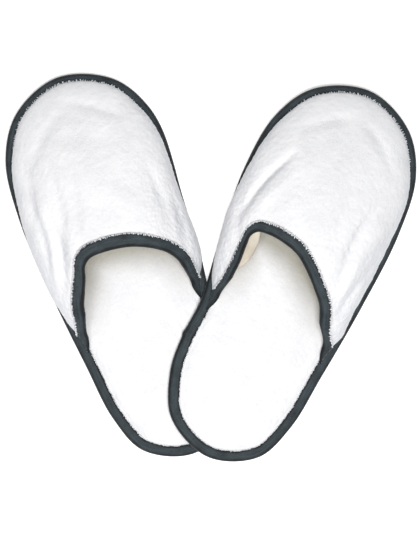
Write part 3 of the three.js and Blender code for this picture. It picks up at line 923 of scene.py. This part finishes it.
def make_throat_tape(name):
    grid, normals, squash = throat_band(name, THROAT_STATIONS)
    section = THROAT_SECTION
    spots, ways = at_distance(grid, normals, section[:, 0], width_shares(name, grid.shape[1]))
    walked = lengths_along(spots[:, 0])
    trace = np.column_stack([walked, walked * 0, walked * 0])
    lumps = wander(trace, 16.0, 41 + len(name))
    puckers = wander(trace, 5.0, 51 + len(name))
    swell = 0.3 * lumps + 0.22 * puckers
    points = spots + ways * section[None, :, 1:2] * ((1 + 0.1 * swell) * squash**1.6)[:, None, None]
    edge = np.clip((section[:, 0] - 5) / 3, 0, 1)
    pull = (0.7 * lumps + 0.5 * puckers)[:, None] * edge[None]
    outward = unit(spots[:, :1] - spots[:, 12:13])
    points = points + outward * pull[..., None]
    piece = laid_grid(f"{name}_throat_tape_folded", wrapped(in_frame(points, name), 1))
    along = np.arange(len(points)) * walked[-1] / THROAT_STATIONS
    lay_strip_map(piece, along, lengths_along(wrapped(section)))
    close_ends(piece)
    finish_mesh(piece, 70.0)
    return piece


def close_ends(piece):
    open_merged(piece)
    bpy.ops.mesh.select_all(action="DESELECT")
    bpy.ops.mesh.select_mode(type="EDGE")
    bpy.ops.mesh.select_non_manifold(extend=False, use_wire=False, use_boundary=True,
                                     use_multi_face=False, use_non_contiguous=False, use_verts=False)
    bpy.ops.mesh.edge_face_add()
    bpy.ops.mesh.select_mode(type="VERT")
    bpy.ops.object.mode_set(mode="OBJECT")


for name in SLIPPERS:
    dress(make_throat_tape(name), name, "throat_tape", slate_tape)

# %% [markdown]
# ## Stitches
# One stitch is a capsule of thread. It is modelled once and laid every three millimetres along each
# tape, sunk a little into the weave.

# %% Stitches
def copies(shape, spots, forward, up, sizes):
    corners, faces = shape
    side = np.cross(up, forward)
    points = (spots[:, None]
              + corners[None, :, 0:1] * forward[:, None] * sizes[:, None, 0:1]
              + corners[None, :, 1:2] * side[:, None] * sizes[:, None, 1:2]
              + corners[None, :, 2:3] * up[:, None] * sizes[:, None, 2:3])
    step = len(corners)
    starts = range(0, len(spots) * step, step)
    return points.reshape(-1, 3), [tuple(i + start for i in face) for start in starts for face in faces]


def alike(row, count):
    return np.tile(row, (count, 1))


def copied_piece(name, label, points, faces):
    mesh = bpy.data.meshes.new(f"{name}_{label}")
    mesh.from_pydata(in_frame(points, name).tolist(), [], faces)
    piece = bpy.data.objects.new(mesh.name, mesh)
    bpy.context.collection.objects.link(piece)
    finish_mesh(piece, 80.0)
    return piece


STITCH_PITCH = 3.0
SEAM_INSET = 3.0
ball = bpy.ops.mesh.primitive_uv_sphere_add
stitch = shape_of(start_piece("stitch", ball, segments=6, ring_count=5, radius=1.0))


def seam_of(name, label, spots, up):
    walked = lengths_along(spots)
    count = int(walked[-1] / STITCH_PITCH)
    at = (np.arange(count) + 0.5) * walked[-1] / count
    line = at_places(at, walked, spots)
    ups = unit(at_places(at, walked, up))
    forward = unit(np.gradient(line, axis=0))
    points, faces = copies(stitch, line, forward, ups, alike([1.15, 0.26, 0.24], count))
    dress(copied_piece(name, f"{label}_stitches", points, faces), name, label, slate_thread)


for name in SLIPPERS:
    ring, inward = outline(STATIONS)
    inset = TAPE_WIDTH - SEAM_INSET
    top = tape_top(ring[:, 1]) + 0.36
    line = wrapped(np.column_stack([ring + inward * inset, top]))
    seam_of(name, "sole_seam", line, alike([0.0, 0.0, 1.0], len(line)))
    grid, normals, squash = throat_band(name, THROAT_STATIONS)
    spots, ways = at_distance(grid, normals, np.array([THROAT_TAPE_WIDTH - SEAM_INSET]))
    on_tape = spots[:, 0] + ways[:, 0] * (1.6 * squash**1.6)[:, None]
    kept = slice(END_COLUMNS, -END_COLUMNS)
    seam_of(name, "throat_seam", on_tape[kept], ways[kept, 0])

# %% [markdown]
# ## The footbed
# The footbed is a terry cover over a thin sponge, so it is a pad: flat where it is sewn down at the rim
# and softly crowned inside. A disc of rings is blown up a little by a cloth simulation with pressure and
# no gravity, its rim held in the seam. Its swelling is capped, because a real footbed rises only a
# millimetre or two, and the pile's relief comes after it.

# %% Discs of the sole's shape
def spine_of(ring):
    matched = (ring[:, 1] + np.roll(ring[::-1, 1], 1)) / 2
    return np.column_stack([ring[:, 0] * 0, np.clip(matched, HEEL_HALF, SOLE_LENGTH - BALL_HALF), ring[:, 2]])


def closed_disc(name, profile, count, steps):
    rings = [ring_at(count, inset, height) for inset, height in profile]
    shares = np.linspace(1, 0, steps + 1)[:-1]
    under = [mix(rings[0], spine_of(rings[0]), share) for share in shares]
    over = [mix(rings[-1], spine_of(rings[-1]), share) for share in shares[::-1]]
    grid = np.array(under + rings + over)
    piece = laid_grid(name, wrapped(grid, 1) * MM)
    finish_mesh(piece, 60.0)
    return piece


def vectors_of(items, kind):
    values = np.zeros(len(items) * 3, np.float32)
    items.foreach_get(kind, values)
    return values.reshape(-1, 3).astype(float)


def corners_of(piece):
    return vectors_of(piece.data.vertices, "co")


def put_in_frame(piece, name, corners):
    lay_corners(piece, in_frame(corners, name))
    finish_mesh(piece, 60.0)

# %% [markdown]
# ## Swelling and shading the footbed
# The profile steps from the flat seam up to the pad. The disc is coarse for the simulation and subdivided
# after it. One function paints how dim each spot is under the arch, where lamps alone leave white cloth
# too bright.

# %% Footbed
FOOTBED_PROFILE = [(16.0, 6.25), (12.0, 3.45), (6.0, 3.45), (1.5, 3.5), (1.5, 4.35), (6.0, 4.5), (8.0, 4.6),
                   (9.5, 5.2), (11.5, 6.0), (14.0, 6.6), (18.0, 7.1)]
FOOTBED_SWELL = 1.0


def blow_up(piece, frozen, pressure, cap):
    before = corners_of(piece)
    group = piece.vertex_groups.new(name="seam")
    group.add([int(i) for i in np.nonzero(frozen)[0]], 1.0, "REPLACE")
    cloth = piece.modifiers.new("swell", "CLOTH")
    cloth.settings.vertex_group_mass = "seam"
    cloth.settings.use_pressure = True
    cloth.settings.uniform_pressure_force = pressure
    cloth.settings.effector_weights.gravity = 0
    cloth.settings.tension_stiffness = 12
    cloth.settings.bending_stiffness = 0.8
    for frame_number in range(1, 21):
        bpy.context.scene.frame_set(frame_number)
    apply_modifier(piece, "swell")
    bpy.context.scene.frame_set(1)
    moved = corners_of(piece) - before
    length = np.linalg.norm(moved, axis=1)
    moved *= (np.minimum(length, cap) / np.maximum(length, 1e-9))[:, None]
    lay_corners(piece, before + moved)
    print(piece.name, "swelled", round(float(length.max() / MM), 2), "mm before its cap")


def shade_under_arch(piece, name):
    back = np.array(SLIPPERS[name]["place"].inverted())
    local = corners_of(piece) @ back[:3, :3].T + back[:3, 3]
    throat = upper_columns(SLIPPERS[name], 200)[0][-1]
    gap = np.min(np.linalg.norm(local[:, None, :2] - throat[None, ::4, :2], axis=2), axis=1)
    front = throat[np.argsort(throat[:, 0])]
    inside = local[:, 1] > np.interp(local[:, 0], front[:, 0], front[:, 1])
    reached = np.where(inside, gap, -gap)
    softness = smoothstep(local[:, 1], 95, 140)
    deeper = mix(0.8, 1.25, smoothstep(local[:, 1], 120, 158))
    amount = np.minimum(smoothstep(reached, -26, 6) * softness * deeper * SLIPPERS[name]["arch_shade"], 1.0)
    layer = piece.data.attributes.new("under_arch", "FLOAT", "POINT")
    layer.data.foreach_set("value", amount.astype(np.float32))


def make_footbed(name):
    piece = closed_disc(f"{name}_terry_footbed", FOOTBED_PROFILE, 150, 9)
    corners = corners_of(piece) / MM
    blow_up(piece, corners[:, 2] < 6.4, 4.0, FOOTBED_SWELL * MM)
    finer = piece.modifiers.new("finer", "SUBSURF")
    finer.levels = finer.render_levels = 2
    apply_modifier(piece, "finer")
    corners, normals = corners_of(piece) / MM, vectors_of(piece.data.vertex_normals, "vector")
    on_top = smoothstep(normals[:, 2], 0.3, 0.8) * smoothstep(corners[:, 2], 4.4, 6.5)
    flat = corners * np.array([1, 1, 0.3])
    relief = tuft_relief(flat, 2.6, 0.55, 61 + len(name)) + 0.35 * wander(flat, 17.0, 71 + len(name))
    put_in_frame(piece, name, corners + normals * (relief * on_top)[:, None])
    shade_under_arch(piece, name)
    return piece

# %% [markdown]
# ## Outsole and core
# The outsole is a die-cut sheet of EVA foam. Small round dots under it, four millimetres apart in
# staggered rows, grip the floor. The core is a thinner sheet of sponge, hidden under the footbed.

# %% Outsole, core and grip dots
OUTSOLE_PROFILE = [(8.0, 0.35), (7.9, 0.6), (7.8, 1.1), (1.4, 1.15), (1.25, 1.3), (1.2, 2.8), (1.35, 3.0)]
CORE_PROFILE = [(17.2, 3.35), (16.85, 3.5), (16.8, 5.6), (17.1, 5.8)]
DOT_PITCH = 4.0


def grip_dots(name):
    add = bpy.ops.mesh.primitive_cone_add
    corners, faces = shape_of(start_piece("dot", add, vertices=8, radius1=1.0, radius2=0.7, depth=1.0))
    corners = corners * np.array([1, 1, -1])
    edge = ring_at(300, 11.0, 0.0)
    toe = int(np.argmax(edge[:, 1]))
    outer, inner = edge[:toe], edge[toe:][::-1]
    spots = []
    for row, y in enumerate(np.arange(13.0, SOLE_LENGTH - 12.0, DOT_PITCH * math.sqrt(0.75))):
        wide = np.interp(y, outer[:, 1], outer[:, 0])
        narrow = np.interp(y, inner[:, 1], inner[:, 0])
        first = math.ceil(narrow / DOT_PITCH) * DOT_PITCH + (row % 2) * DOT_PITCH / 2
        spots += [(x, y, 0.2) for x in np.arange(first, wide, DOT_PITCH)]
    ahead, up, sizes = (alike(row, len(spots)) for row in ([0.0, 1.0, 0.0], [0.0, 0.0, 1.0], [0.8, 0.8, 0.4]))
    points, faces = copies((corners, faces), np.array(spots), ahead, up, sizes)
    return copied_piece(name, "grip_dots", points, faces)


for name in SLIPPERS:
    footbed = make_footbed(name)
    dress(footbed, name, "terry_insole", white_terry)
    outsole = closed_disc(f"{name}_eva_outsole", OUTSOLE_PROFILE, 240, 6)
    put_in_frame(outsole, name, corners_of(outsole) / MM)
    dress(outsole, name, "outsole", white_foam)
    dress(grip_dots(name), name, None, white_foam)
    core = closed_disc(f"{name}_sponge_core", CORE_PROFILE, 200, 6)
    put_in_frame(core, name, corners_of(core) / MM)
    dress(core, name, "foam_core", white_foam)

# %% [markdown]
# ## Pile along the tapes
# Where a tape is sewn over terry, loops of the pile come up beside it and lie over its edge. They give
# the tape its ragged, slightly toothed line. One tuft is a small flattened drop, modelled once and laid
# along each edge, with its length, lean and turn drawn from a seeded generator.

# %% Pile tufts
TUFT_PITCH = 1.05
tuft = shape_of(start_piece("tuft", bpy.ops.mesh.primitive_ico_sphere_add, subdivisions=1, radius=1.0))


def pile_edge(name, label, line, towards, up, seed):
    draw = np.random.default_rng(seed)
    walked = lengths_along(line)
    count = int(walked[-1] / TUFT_PITCH)
    at = np.sort((np.arange(count) + draw.uniform(-0.35, 0.35, count)) * walked[-1] / count)
    spot = at_places(at, walked, line)
    way, rise = unit(at_places(at, walked, towards)), unit(at_places(at, walked, up))
    turn = draw.normal(0, 0.45, count)[:, None]
    beside = np.cross(rise, way)
    way = unit(way * np.cos(turn) + beside * np.sin(turn) + rise * draw.uniform(-0.25, 0.15, count)[:, None])
    rise = unit(rise - way * (rise * way).sum(1)[:, None])
    length = draw.uniform(0.55, 1.5, count)
    sizes = np.column_stack([length, draw.uniform(0.3, 0.5, count), draw.uniform(0.22, 0.34, count)])
    spot = spot + way * (length * 0.35)[:, None] + rise * draw.uniform(-0.05, 0.2, count)[:, None]
    points, faces = copies(tuft, spot, way, rise, sizes)
    dress(copied_piece(name, f"{label}_pile", points, faces), name, None, white_terry)


for seed, name in enumerate(SLIPPERS):
    ring, inward = outline(STATIONS)
    open_part = np.roll(np.arange(STATIONS), STATIONS // 2)
    heel_part = open_part[ring[open_part][:, 1] < 108]
    top = tape_top(ring[heel_part][:, 1])
    line = np.column_stack([ring[heel_part] + inward[heel_part] * 7.9, top - 0.35])
    outward = np.column_stack([-inward[heel_part], np.zeros(len(heel_part))])
    pile_edge(name, "footbed_edge", line, outward, alike([0.0, 0.0, 1.0], len(line)), 100 + seed)
    grid, normals, squash = throat_band(name, THROAT_STATIONS)
    spots, ways = at_distance(grid, normals, np.array([7.0, 8.4]), width_shares(name, grid.shape[1]))
    kept = slice(END_COLUMNS + 12, -END_COLUMNS - 12)
    pile_edge(name, "throat_edge", (spots[:, 1] + ways[:, 1] * 1.3)[kept], (spots[:, 0] - spots[:, 1])[kept],
              ways[kept, 1], 200 + seed)
    pile_edge(name, "toe_edge", grid[7] + normals[7] * 0.3, flat_out(normals[7]),
              alike([0.0, 0.0, 1.0], grid.shape[1]), 300 + seed)
